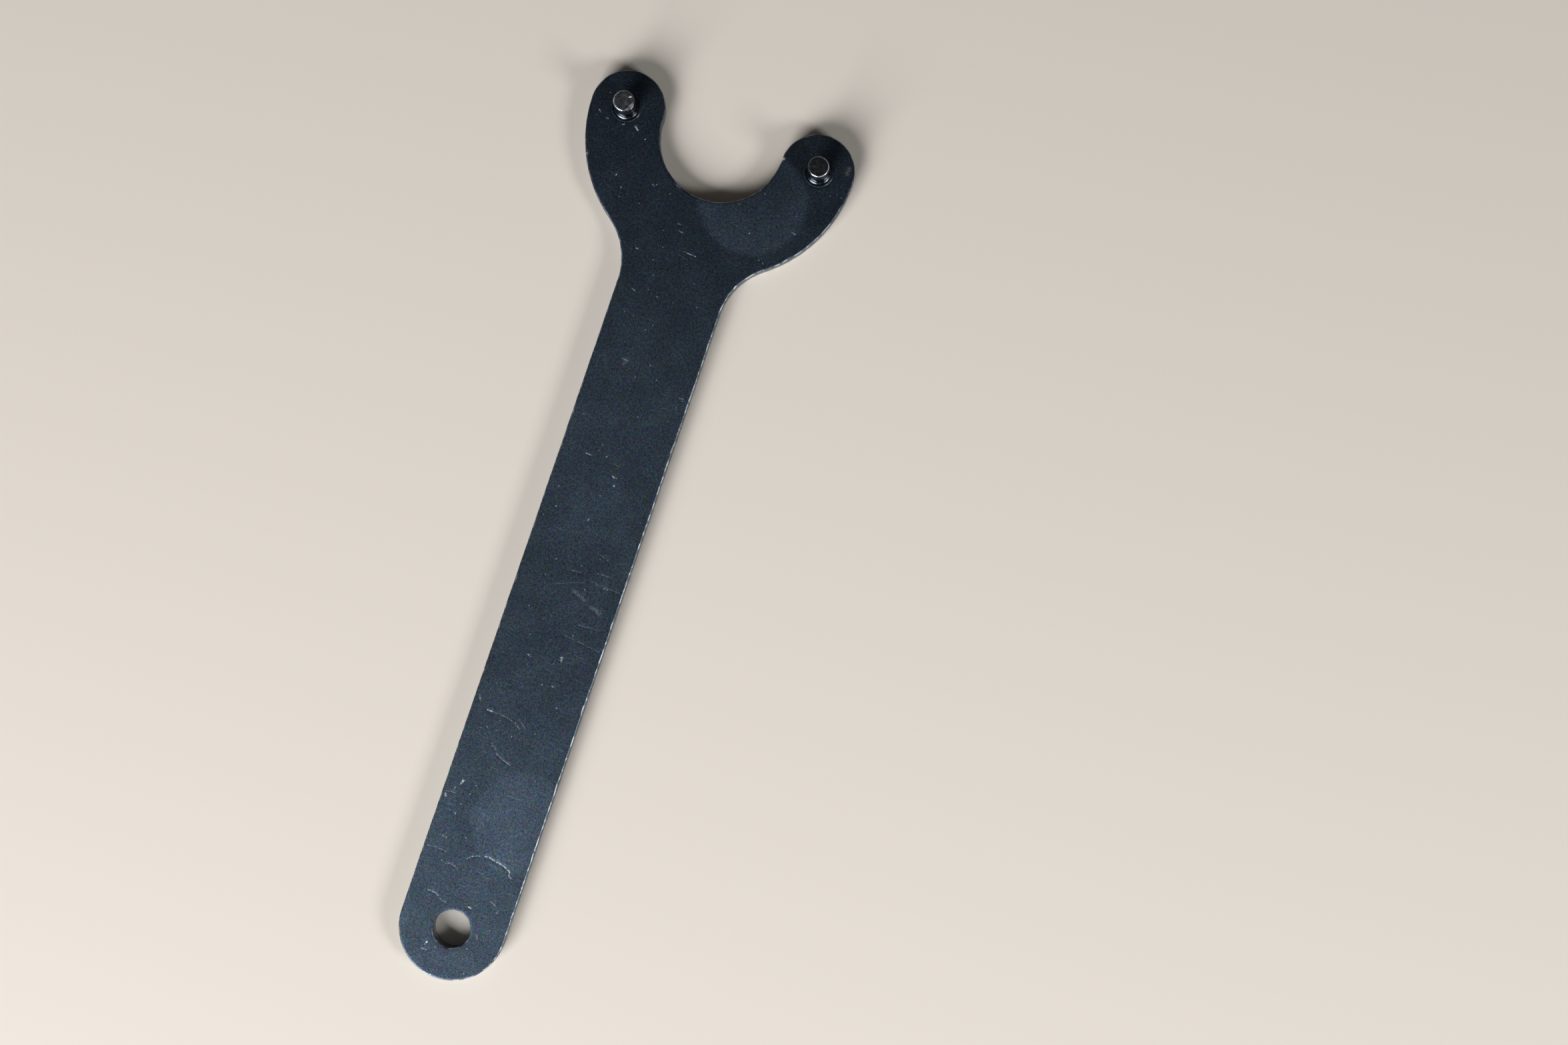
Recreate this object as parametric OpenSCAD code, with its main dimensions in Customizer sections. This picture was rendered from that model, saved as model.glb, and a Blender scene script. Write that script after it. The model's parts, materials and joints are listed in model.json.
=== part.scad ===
// Two-pin face spanner for round flange nuts.
//
// A flat steel plate makes the whole body: a fork head with two curved arms, a straight
// handle and a round end with a hanging hole. A stepped pin stands on each arm. Its thick
// shank is pressed through the plate and riveted over in a countersink, flush with the
// back face, and its thinner free end enters the nut.
//
// Origin: midway between the pins, on the working face that the pins stand out of.
// +Z is the way the pins point, and the handle runs along -Y.

/* [Pins] */
// Distance between the axes of the two pins
pin_spacing = 35; // [30:0.5:45]
// Diameter of a pin's free end
pin_d = 3.8; // [3:0.1:3.9]
// Diameter of a pin's shank, in the plate
shank_d = 4.4; // [4:0.1:6]
// How far a pin stands out of the working face
pin_reach = 5; // [3:0.1:8]
// Width of the chamfer around the tip of a pin
pin_chamfer = 0.35; // [0.2:0.05:0.8]
// Width that the riveted end of a pin has beyond its shank, on each side
rivet_flare = 0.6; // [0.3:0.1:1]
// Depth of the riveted end, in its countersink
rivet_depth = 0.6; // [0.3:0.1:1]

/* [Head] */
// Width of an arm, which is also the diameter of its round end
arm_w = 13; // [10:0.5:16]
// How far inside the pin circle the middle of an arm runs
arm_inset = 0.25; // [0:0.05:1]
// Radius of the hollow where the head runs into the handle
neck_r = 12; // [8:0.5:20]

/* [Handle] */
// Width of the handle
handle_w = 18.7; // [14:0.1:24]
// Distance from the line of the pins to the middle of the handle's round end
handle_reach = 143.3; // [90:0.1:220]
// Diameter of the hanging hole
hang_hole_d = 6.5; // [4:0.1:9]
// How far the hanging hole is from the middle of the round end, towards the tip
hang_hole_shift = 0.4; // [0:0.1:1]

/* [Plate] */
// Thickness of the plate
plate_t = 3.2; // [2.5:0.1:5]

/* [Hidden] */
$fn = 180;

plate_colour = [0.20, 0.23, 0.27];
pin_colour = [0.42, 0.44, 0.47];

// How far a cutter runs past the face that it starts from
cut_over = 1;

// The arms are arcs about the origin, with this middle line and these two edges
arm_mid_r = pin_spacing / 2 - arm_inset;
head_r = arm_mid_r + arm_w / 2;
throat_r = arm_mid_r - arm_w / 2;

// The neck's hollow touches the head's outer edge and the side of the handle
handle_half = handle_w / 2;
neck_x = handle_half + neck_r;
neck_y = -sqrt(pow(head_r + neck_r, 2) - pow(neck_x, 2));
head_share = head_r / (head_r + neck_r);
neck_top = [neck_x * head_share, neck_y * head_share];

// Both arms and the bridge between them: the part of a ring below the line of the pins
module arms_outline() {
    intersection() {
        difference() {
            circle(r = head_r);
            circle(r = throat_r);
        }
        translate([-head_r, -head_r]) square([2 * head_r, head_r]);
    }
    for (side = [-1, 1])
        translate([side * arm_mid_r, 0]) circle(d = arm_w);
}

// The piece that widens from the handle to the head, with a hollow on each side
module neck_outline() {
    difference() {
        polygon([
            [-handle_half, neck_y],
            [handle_half, neck_y],
            neck_top,
            [-neck_top[0], neck_top[1]],
        ]);
        for (side = [-1, 1])
            translate([side * neck_x, neck_y]) circle(r = neck_r);
    }
}

// The straight handle with its round end, from inside the neck down to the hanging hole
module handle_outline() {
    translate([-handle_half, -handle_reach]) square([handle_w, handle_reach + neck_top[1]]);
    translate([0, -handle_reach]) circle(d = handle_w);
}

// One countersunk hole, as the shape that is cut away for a pin
module pin_seat() {
    translate([0, 0, -plate_t - cut_over]) cylinder(d = shank_d, h = plate_t + 2 * cut_over);
    translate([0, 0, -plate_t])
        cylinder(d1 = shank_d + 2 * rivet_flare, d2 = shank_d, h = rivet_depth);
}

module spanner_plate() {
    color(plate_colour)
        difference() {
            translate([0, 0, -plate_t]) linear_extrude(plate_t) {
                arms_outline();
                neck_outline();
                handle_outline();
            }
            for (side = [-1, 1])
                translate([side * pin_spacing / 2, 0, 0]) pin_seat();
            translate([0, -handle_reach - hang_hole_shift, -plate_t - cut_over])
                cylinder(d = hang_hole_d, h = plate_t + 2 * cut_over);
        }
}

// A pin about its own axis: riveted end, shank, free end and chamfered tip
module pin() {
    pin_r = pin_d / 2;
    shank_r = shank_d / 2;
    color(pin_colour)
        rotate_extrude()
            polygon([
                [0, -plate_t],
                [shank_r + rivet_flare, -plate_t],
                [shank_r, rivet_depth - plate_t],
                [shank_r, 0],
                [pin_r, 0],
                [pin_r, pin_reach - pin_chamfer],
                [pin_r - pin_chamfer, pin_reach],
                [0, pin_reach],
            ]);
}

module left_pin() {
    translate([-pin_spacing / 2, 0, 0]) pin();
}

module right_pin() {
    translate([pin_spacing / 2, 0, 0]) pin();
}

spanner_plate();
left_pin();
right_pin();
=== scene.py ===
"""A two-pin face spanner that lies on a pale floor.

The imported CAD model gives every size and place. The plate and the two pins are built again
here as fine meshes, with the rolled and sheared edges, dents and pressed pins of real
sheet-metal work, and they stand for the plain CAD nodes. Lengths are in millimetres until
a mesh is made.
"""
import json
import math

import bpy
import numpy as np
from mathutils import Euler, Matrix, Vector
from mathutils.geometry import delaunay_2d_cdt
from mathutils.kdtree import KDTree


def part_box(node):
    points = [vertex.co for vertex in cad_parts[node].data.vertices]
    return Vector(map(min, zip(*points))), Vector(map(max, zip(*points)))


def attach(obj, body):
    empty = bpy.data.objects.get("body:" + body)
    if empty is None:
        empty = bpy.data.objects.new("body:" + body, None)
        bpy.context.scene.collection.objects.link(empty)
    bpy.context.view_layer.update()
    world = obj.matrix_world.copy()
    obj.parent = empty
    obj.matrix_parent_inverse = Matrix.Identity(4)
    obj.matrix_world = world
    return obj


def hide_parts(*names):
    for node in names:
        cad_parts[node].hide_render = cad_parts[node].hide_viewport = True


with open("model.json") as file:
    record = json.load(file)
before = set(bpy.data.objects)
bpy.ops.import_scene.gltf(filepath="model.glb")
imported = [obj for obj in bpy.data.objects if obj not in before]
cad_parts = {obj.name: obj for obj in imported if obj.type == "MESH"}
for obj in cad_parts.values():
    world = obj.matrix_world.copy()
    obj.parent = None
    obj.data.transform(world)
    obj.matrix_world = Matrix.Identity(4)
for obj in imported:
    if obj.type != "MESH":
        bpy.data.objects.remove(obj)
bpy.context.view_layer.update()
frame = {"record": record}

MM = 0.001

# ---------------------------------------------------------------- sizes from the frame

plate_low, plate_high = (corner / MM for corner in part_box("spanner_plate"))
HEAD_R = plate_high.x
ARM_W = 2 * plate_high.y
THROAT_R = HEAD_R - ARM_W
ARM_MID_R = HEAD_R - ARM_W / 2
PLATE_T = -plate_low.z

pin_low, pin_high = (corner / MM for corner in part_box("right_pin"))
PIN_X = (pin_low.x + pin_high.x) / 2
PIN_TOP = pin_high.z
RIVET_R = (pin_high.x - pin_low.x) / 2

mounts = {mount["name"]: mount for mount in frame["record"]["mounts"]}
HOLE_Y = mounts["hang_hole"]["pos_m"][1] / MM
HOLE_R = mounts["hang_hole"]["dims"]["r_mm"]
PIN_R = mounts["pin_pair"]["dims"]["stud_r_mm"]

# Sizes that no box or mount states
HANDLE_HALF = 9.35
NECK_R = 12.0
SHANK_R = 2.2
RIVET_DEPTH = 0.6
PIN_CHAMFER = 0.35

TAIL_Y = plate_low.y + HANDLE_HALF
NECK_X = HANDLE_HALF + NECK_R
NECK_Y = -math.sqrt((HEAD_R + NECK_R) ** 2 - NECK_X**2)

# ---------------------------------------------------------------- random but repeatable shapes


def ripple(seed, along, around, wavelengths):
    """A wave from 0 to 1 at each place along a loop, made of a sine for each wavelength."""
    rng = np.random.default_rng(seed)
    total = np.zeros(len(along))
    for wavelength in wavelengths:
        turns = max(1, round(around / wavelength))
        total += np.sin(2 * math.pi * turns * along / around + rng.uniform(0, 2 * math.pi))
    return 0.5 + 0.5 * total / len(wavelengths)


def swell(seed, points, wavelengths):
    """A wave from 0 to 1 at each point of a face: a sine in a random direction for each wavelength."""
    rng = np.random.default_rng(seed)
    total = np.zeros(len(points))
    for wavelength in wavelengths:
        angle, phase = rng.uniform(0, 2 * math.pi, 2)
        across = points[:, 0] * math.cos(angle) + points[:, 1] * math.sin(angle)
        total += np.sin(2 * math.pi * across / wavelength + phase)
    return 0.5 + 0.5 * total / len(wavelengths)


def smooth(value, low, high):
    """0 below low, 1 above high, and a smooth step between them."""
    share = np.clip((value - low) / (high - low), 0, 1)
    return share * share * (3 - 2 * share)


# ---------------------------------------------------------------- outlines

# How far apart the points of an outline are
STEP = 0.28


def arc(centre, radius, start, end):
    """Points along an arc and the directions out of the metal there. Angles are in degrees.
    A clockwise arc is a hollow in the outline, so its centre is outside the metal."""
    count = max(3, round(abs(math.radians(end - start)) * radius / STEP))
    angles = np.radians(np.linspace(start, end, count, endpoint=False))
    rays = np.column_stack([np.cos(angles), np.sin(angles)])
    return np.array(centre) + radius * rays, rays if end > start else -rays


def straight(start, end):
    """Points along a straight side and the directions out of the metal there."""
    start, end = np.array(start, float), np.array(end, float)
    length = np.linalg.norm(end - start)
    count = round(length / STEP)
    shares = np.linspace(0, 1, count, endpoint=False)[:, None]
    along = (end - start) / length
    return start + shares * (end - start), np.tile([along[1], -along[0]], (count, 1))


def chain(*runs):
    """One closed loop from runs that follow each other, with the length along it."""
    points = np.vstack([run[0] for run in runs])
    outward = np.vstack([run[1] for run in runs])
    sides = np.linalg.norm(np.roll(points, -1, axis=0) - points, axis=1)
    along = np.concatenate([[0], np.cumsum(sides)[:-1]])
    return {"points": points, "outward": outward, "along": along, "around": sides.sum()}


def plate_loop():
    """The plate's outline, anticlockwise from the left side of the round end."""
    neck_angle = math.degrees(math.atan2(-NECK_Y, NECK_X))
    return chain(
        arc((0, TAIL_Y), HANDLE_HALF, 180, 360),
        straight((HANDLE_HALF, TAIL_Y), (HANDLE_HALF, NECK_Y)),
        arc((NECK_X, NECK_Y), NECK_R, 180, 180 - neck_angle),
        arc((0, 0), HEAD_R, -neck_angle, 0),
        arc((ARM_MID_R, 0), ARM_W / 2, 0, 180),
        arc((0, 0), THROAT_R, 0, -180),
        arc((-ARM_MID_R, 0), ARM_W / 2, 0, 180),
        arc((0, 0), HEAD_R, 180, 180 + neck_angle),
        arc((-NECK_X, NECK_Y), NECK_R, neck_angle, 0),
        straight((-HANDLE_HALF, NECK_Y), (-HANDLE_HALF, TAIL_Y)),
    )


def hole_loop(centre, radius):
    """A round hole's edge: clockwise, because the metal is outside it."""
    return chain(arc(centre, radius, 360, 0))


# ---------------------------------------------------------------- the plate's edges

# Each row is a ring of an edge, from the working face down to the back face: how far it is
# into the metal from the outline, its depth, how much it is rubbed and how much it is the wall
OUTER_EDGE = [
    (0.58, 0.000, 0.0, 0.0),
    (0.30, 0.006, 0.0, 0.0),
    (0.21, 0.020, 0.1, 0.0),
    (0.15, 0.045, 0.6, 0.0),
    (0.09, 0.082, 1.0, 0.0),
    (0.04, 0.126, 0.9, 0.1),
    (0.01, 0.190, 0.4, 0.5),
    (0.00, 0.300, 0.1, 1.0),
    (0.00, 0.750, 0.0, 1.0),
    (0.00, 1.150, 0.0, 1.0),
    (0.00, 1.500, 0.0, 1.0),
    (0.01, 1.800, 0.0, 1.0),
    (0.02, 2.150, 0.0, 1.0),
    (0.03, 2.500, 0.1, 1.0),
    (0.04, 2.800, 0.3, 1.0),
    (0.07, 2.980, 0.7, 0.8),
    (0.13, 3.090, 1.0, 0.4),
    (0.24, 3.165, 0.7, 0.1),
    (0.42, 3.200, 0.1, 0.0),
]
HOLE_EDGE = [
    (0.34, 0.000, 0.0, 0.0),
    (0.20, 0.010, 0.2, 0.0),
    (0.13, 0.030, 0.8, 0.0),
    (0.07, 0.065, 1.0, 0.0),
    (0.03, 0.110, 0.8, 0.1),
    (0.00, 0.200, 0.2, 0.3),
    (0.00, 0.900, 0.0, 0.4),
    (0.00, 1.700, 0.0, 0.5),
    (0.01, 2.400, 0.0, 0.6),
    (0.03, 2.950, 0.5, 0.5),
    (0.10, 3.130, 1.0, 0.3),
    (0.25, 3.200, 0.1, 0.0),
]
PIN_SEAT = [
    (0.74, 0.000, 0.0, 0.0),
    (0.60, 0.016, 0.0, 0.0),
    (0.50, 0.034, 0.1, 0.0),
    (0.44, 0.034, 0.6, 0.0),
    (0.38, 0.016, 1.0, 0.0),
    (0.32, 0.004, 0.6, 0.0),
    (0.25, 0.002, 0.1, 0.0),
    (0.18, 0.010, 0.0, 0.0),
    (0.11, 0.045, 0.0, 0.2),
    (0.05, 0.110, 0.0, 0.7),
    (0.03, 0.250, 0.0, 1.0),
    (0.03, PLATE_T - RIVET_DEPTH, 0.0, 1.0),
    (RIVET_R - SHANK_R + 0.01, 3.140, 0.2, 0.8),
    (RIVET_R - SHANK_R + 0.12, 3.185, 0.5, 0.2),
    (RIVET_R - SHANK_R + 0.35, 3.200, 0.1, 0.0),
]

# Where the lip around a pin carries a painted highlight, on the side that faces the lower right
# lamp: the direction and the spread, in degrees
LIP_HIGHLIGHT_AT = -28
LIP_HIGHLIGHT_OVER = 16

# Places along the outline that are knocked bare: the place, how far it reaches and how bright
BARE_SPOTS = [((11.0, 0.2), 0.28, 0.9), ((-4.7, -10.4), 0.7, 0.6), ((-21.4, -9.7), 0.35, 0.6)]

# The step left in the throat's edge where the cut began and ended
CUT_STEP_AT = (10.95, 0.3)
CUT_STEP_DEPTH = 0.24
CUT_STEP_LENGTH = 1.7


def cut_step(loop):
    """How far the step stands back from the outline at each point."""
    gap = np.linalg.norm(loop["points"] - np.array(CUT_STEP_AT), axis=1)
    past = loop["along"] - loop["along"][gap.argmin()]
    tail = np.clip(1 - past / CUT_STEP_LENGTH, 0, 1) ** 2
    return CUT_STEP_DEPTH * np.where(past >= 0, tail, 0)


def knocks(seed, loop, count):
    """Small knocks along an edge: how much further its roll reaches in at each point."""
    rng = np.random.default_rng(seed)
    total = np.zeros(len(loop["along"]))
    for _ in range(count):
        gap = np.abs(loop["along"] - rng.uniform(0, loop["around"]))
        width, depth = rng.uniform(0.3, 0.9), rng.uniform(0.05, 0.16)
        total += depth * np.exp(-((gap / width) ** 2))
    return total


# What the material reads at each vertex: how much it is rubbed along an edge, with painted
# highlights where edges face the lamps, how much it is the cut side, how much it is scratched bare
# (with a painted reflection on the hanging hole's wall), how much lighter it is by rubbing, painted
# sheen and painted shade, and how rusty it is
LAYERS = ("rim", "wall", "mark", "pale", "rust")


class Metal:
    """The vertices, faces and wear of a mesh while it is made, in millimetres. Each layer holds a
    number for each vertex: wear, and also painted sheen, shade and highlights."""

    def __init__(self):
        self.points = []
        self.faces = []
        self.layers = {name: [] for name in LAYERS}

    def add(self, points, **values):
        """Adds vertices and gives their numbers."""
        first = len(self.points)
        self.points.extend(tuple(float(c) for c in point) for point in points)
        for name, layer in self.layers.items():
            layer.extend(np.broadcast_to(values.get(name, 0.0), len(points)).tolist())
        return list(range(first, len(self.points)))

    def skin(self, upper, lower):
        """Faces between two closed rings of the same length, the upper one first."""
        for i in range(len(upper)):
            after = (i + 1) % len(upper)
            self.faces.append((upper[i], lower[i], lower[after], upper[after]))

    def build(self, name):
        """Makes the Blender object, in metres and smooth."""
        mesh = bpy.data.meshes.new(name)
        mesh.from_pydata([tuple(c * MM for c in point) for point in self.points], [], self.faces)
        for title, values in self.layers.items():
            layer = mesh.attributes.new(title, "FLOAT", "POINT")
            layer.data.foreach_set("value", np.array(values, np.float32))
        mesh.polygons.foreach_set("use_smooth", [True] * len(mesh.polygons))
        mesh.update()
        made = bpy.data.objects.new(name, mesh)
        bpy.context.scene.collection.objects.link(made)
        return made


# Rings that are less deep than this are as pale as the face beside them
PALE_DEPTH = 0.2


def edge_band(metal, loop, profile, ragged, roll, edge_rub_and_highlight, bare_and_painted_light=0.0, bare_depths=(0, 0.15)):
    """The rings of one edge. ragged is how far each point of the wall stands back, roll how much
    further the upper edge is rolled in, edge_rub_and_highlight how bright the arrises are made by
    rubbing and by painted highlight, and bare_and_painted_light how bright the metal is between the
    bare_depths: knocked bare, and on the hanging hole's wall a painted reflection. Gives the first and
    the last ring."""
    rings = []
    rough = 0.03 * ripple(5, loop["along"], loop["around"], (0.7, 0.9, 1.3, 1.9))
    for inset, depth, rim, wall in profile:
        torn = smooth(depth, 1.2, 2.4) * wall
        rolled = math.exp(-((depth - 0.1) ** 2) / 0.02) if depth > 0 else 0
        back = inset + ragged * min(1, 0.4 + wall) + rough * torn + roll * rolled
        xy = loop["points"] - loop["outward"] * back[:, None]
        z = np.full(len(xy), -depth)
        knock_and_reflection = bare_and_painted_light if bare_depths[0] < depth < bare_depths[1] else 0.0
        pale = pale_at(xy) if depth < PALE_DEPTH else 0.0
        wear_and_painted_light = {"rim": rim * edge_rub_and_highlight, "wall": wall, "mark": knock_and_reflection, "pale": pale}
        rings.append(metal.add(np.column_stack([xy, z]), **wear_and_painted_light))
    for upper, lower in zip(rings, rings[1:]):
        metal.skin(upper, lower)
    return rings[0], rings[-1]


# ---------------------------------------------------------------- marks on the faces

# Marks on the working face: the points along each one, its width and how bright it is
MARKS = [
    ([(-1.5, -131.5), (-0.8, -130.8), (-0.2, -130.5), (0.5, -130.3)], 0.28, 0.45),
    ([(1.4, -130.0), (2.0, -129.9)], 0.34, 1.0),
    ([(2.1, -129.95), (3.2, -130.2)], 0.32, 1.0),
    ([(3.6, -130.3), (4.4, -130.4), (5.3, -130.7), (6.2, -131.1)], 0.30, 1.0),
    ([(6.2, -131.1), (6.4, -131.9)], 0.28, 0.9),
    ([(6.4, -131.9), (6.9, -132.2)], 0.30, 0.8),
    ([(-9.0, -131.4), (-7.0, -131.2), (-5.0, -131.4)], 0.30, 0.22),
    ([(-4.7, -133.4), (-3.8, -133.0), (-2.4, -133.6)], 0.28, 0.24),
    ([(-6.0, -138.6), (-4.7, -138.7), (-4.0, -139.0)], 0.32, 0.42),
    ([(-3.6, -139.4), (-2.4, -139.7)], 0.28, 0.38),
    ([(4.8, -137.0), (5.9, -137.5)], 0.28, 0.35),
    ([(1.5, -139.2), (2.0, -139.35)], 0.26, 0.8),
    ([(-8.8, -121.5), (-7.9, -121.35), (-6.9, -121.4)], 0.24, 0.4),
    ([(-6.4, -118.9), (-6.6, -119.6)], 0.50, 0.8),
    ([(-7.3, -120.3), (-7.5, -121.0)], 0.30, 0.45),
    ([(-8.7, -122.0), (-8.4, -122.4)], 0.55, 0.5),
    ([(-5.9, -124.7)], 0.50, 0.8),
    ([(-4.0, -119.0)], 0.34, 0.6),
    ([(-2.6, -112.6), (-0.9, -113.4), (0.4, -113.8)], 0.24, 0.5),
    ([(-3.9, -111.3), (-2.8, -112.0)], 0.30, 0.25),
    ([(-6.4, -106.0), (-5.6, -106.0)], 0.34, 0.9),
    ([(-5.6, -106.0), (-3.6, -106.1), (-2.2, -106.3)], 0.22, 0.25),
    ([(-1.2, -106.6), (-0.6, -107.0), (-0.1, -107.4)], 0.26, 0.3),
    ([(-0.8, -105.8), (0.9, -107.0)], 0.26, 0.25),
    ([(-8.5, -104.0), (-8.1, -104.9)], 0.30, 0.45),
    ([(-2.9, -94.7), (-2.4, -94.9)], 0.28, 0.6),
    ([(2.8, -93.4), (3.0, -94.4)], 0.45, 0.5),
    ([(2.5, -93.4), (3.0, -93.3)], 0.35, 0.5),
    ([(3.4, -89.2)], 0.42, 0.7),
    ([(2.0, -89.6), (4.0, -89.75), (6.2, -90.1), (9.0, -90.4)], 0.20, 0.22),
    ([(3.7, -87.1), (5.4, -87.0)], 0.24, 0.3),
    ([(5.4, -86.9), (7.3, -86.9)], 0.22, 0.2),
    ([(0.8, -81.7), (2.0, -82.2), (3.4, -82.8)], 0.80, 0.20),
    ([(4.8, -83.5), (6.6, -84.2)], 0.95, 0.20),
    ([(3.3, -79.4), (5.8, -79.5), (8.8, -79.7)], 0.24, 0.2),
    ([(5.8, -79.8), (6.4, -79.8)], 0.30, 0.6),
    ([(-2.6, -81.8), (0.0, -80.7), (2.3, -79.9)], 0.20, 0.15),
    ([(3.9, -77.7), (5.2, -77.6), (6.3, -77.6)], 0.26, 0.3),
    ([(-1.0, -78.6), (1.0, -78.5)], 0.20, 0.3),
    ([(3.5, -74.5), (5.0, -75.0)], 0.20, 0.3),
    ([(-0.5, -69.2), (-0.7, -69.6)], 0.34, 0.5),
    ([(-6.6, -69.0)], 0.40, 0.7),
    ([(1.7, -62.5)], 0.50, 0.75),
    ([(0.9, -61.0), (1.4, -61.2)], 0.34, 0.6),
    ([(-4.7, -58.7), (-3.7, -58.7)], 0.30, 0.65),
    ([(-1.1, -58.1)], 0.45, 0.65),
    ([(-3.9, -41.2), (-3.1, -41.4)], 0.60, 0.35),
    ([(-3.5, -42.1)], 0.60, 0.35),
    ([(7.5, -44.6), (8.1, -44.5)], 0.24, 0.45),
    ([(7.4, -46.1), (7.5, -46.5)], 0.26, 0.4),
    ([(5.2, -28.8)], 0.45, 0.8),
    ([(-6.4, -29.3), (-5.8, -29.5)], 0.26, 0.55),
    ([(0.0, -20.4), (1.0, -20.5), (2.2, -20.6)], 0.24, 0.6),
    ([(-2.0, -17.3), (-1.0, -17.5)], 0.24, 0.4),
    ([(-2.5, -16.2), (-2.0, -16.2)], 0.30, 0.5),
    ([(9.6, -13.8)], 0.42, 0.9),
    ([(16.3, -11.3), (17.2, -11.5)], 0.26, 0.5),
    ([(-15.5, -11.8), (-15.3, -11.5)], 0.30, 0.8),
    ([(-13.9, -13.4)], 0.40, 0.8),
    ([(-8.9, -11.2), (-8.5, -11.4)], 0.28, 0.6),
    ([(-12.6, -4.3)], 0.38, 0.8),
    ([(-15.0, -2.7), (-14.3, -3.2)], 0.45, 0.9),
    ([(-17.2, -3.1), (-16.9, -2.9)], 0.30, 0.7),
    ([(-20.3, -2.9), (-19.8, -2.9)], 0.30, 0.5),
    ([(-21.8, -1.9), (-21.4, -2.2)], 0.34, 0.5),
    ([(-18.5, -4.5)], 0.36, 0.5),
    ([(-8.0, -22.5), (-7.7, -22.5)], 0.32, 0.7),
    ([(13.5, -18.0)], 0.36, 0.6),
    ([(20.7, -3.3)], 0.34, 0.6),
    ([(-3.3, -147.2), (-3.5, -147.6)], 0.42, 0.7),
    ([(-1.7, -147.6)], 0.38, 0.6),
    ([(-3.9, -148.5), (-3.0, -148.5)], 0.26, 0.4),
    ([(4.5, -143.4), (4.8, -143.9)], 0.40, 0.3),
    ([(1.1, -98.9)], 0.36, 0.5),
    ([(2.8, -98.6), (3.4, -98.6)], 0.26, 0.5),
    ([(4.6, -101.9), (4.9, -101.9)], 0.34, 0.7),
]

# Spots of rust, in the same form
RUST = [
    ([(-6.6, -128.9)], 0.45, 1.0),
    ([(-6.0, -129.1)], 0.50, 1.0),
    ([(-6.3, -128.4)], 0.35, 0.8),
    ([(6.5, -138.5)], 0.5, 0.9),
    ([(-2.5, -56.4)], 0.6, 0.6),
    ([(22.2, 1.4), (22.4, 2.4)], 1.2, 0.35),
    ([(-3.5, -41.8)], 0.7, 0.4),
]

MARK_STEP = 0.16
MARK_DEPTH = 0.035

# Points that are further than this from the middle of a mark are never on it
MARK_REACH = 12


def back_marks(seed, count):
    """Long light scratches on the back face, from sliding over benches."""
    rng = np.random.default_rng(seed)
    made = []
    for _ in range(count):
        x, y = rng.uniform(-8, 8), rng.uniform(-148, -4)
        angle, length = rng.uniform(0, math.pi), rng.uniform(1.5, 9)
        bend = rng.uniform(-0.25, 0.25)
        steps = [(share * length, bend * share * share * length) for share in (0.0, 0.33, 0.66, 1.0)]
        turn = (math.cos(angle), math.sin(angle))
        points = [(x + a * turn[0] - b * turn[1], y + a * turn[1] + b * turn[0]) for a, b in steps]
        made.append((points, rng.uniform(0.18, 0.34), 0.65 * rng.uniform(0.35, 1.0) ** 2))
    return made


def along_mark(points, step):
    """Places along a mark, not further apart than the step."""
    places = [np.array(points[0], float)]
    for start, end in zip(points, points[1:]):
        start, end = np.array(start, float), np.array(end, float)
        count = max(1, math.ceil(np.linalg.norm(end - start) / step))
        places += [start + (end - start) * i / count for i in range(1, count + 1)]
    return np.array(places)


def mark_points(marks):
    """Close points over each mark, so that the mesh follows its groove."""
    found = []
    for points, width, _ in marks:
        places = along_mark(points, MARK_STEP)
        if len(places) == 1:
            found.append(places)
            turns = np.arange(8) * math.pi / 4
            rays = np.column_stack([np.cos(turns), np.sin(turns)])
            found += [places[0] + rays * width * share for share in (0.25, 0.52)]
            continue
        ahead = np.gradient(places, axis=0)
        ahead /= np.linalg.norm(ahead, axis=1)[:, None]
        across = np.column_stack([-ahead[:, 1], ahead[:, 0]])
        shares = (-0.52, 0, 0.52) if width < 0.5 else (-0.52, -0.26, 0, 0.26, 0.52)
        found += [places + across * width * share for share in shares]
        found += [places[:1] - ahead[:1] * width * 0.6, places[-1:] + ahead[-1:] * width * 0.6]
    return np.vstack(found)


def mark_at(points, marks, seed):
    """How strong the marks are at each point, from 0 to 1: full along the middle of a mark."""
    rng = np.random.default_rng(seed)
    total = np.zeros(len(points))
    for line, width, strength in marks:
        places = along_mark(line, MARK_STEP)
        patchy = rng.uniform(0.55, 1.0, len(places))
        near = np.abs(points - places.mean(axis=0)).max(axis=1) < MARK_REACH
        gaps = np.linalg.norm(points[near][:, None] - places[None], axis=2)
        across = np.clip(1 - gaps.min(axis=1) / (width / 2), 0, 1)
        value = strength * patchy[gaps.argmin(axis=1)] * across
        total[near] = np.maximum(total[near], value)
    return total


def ellipse(points, centre, radii, soft):
    """1 inside an ellipse and 0 outside it. soft is the share of the radius that the edge takes."""
    distance = np.linalg.norm((points - np.array(centre)) / np.array(radii), axis=1)
    return 1 - smooth(distance, 1 - soft, 1)


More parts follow.
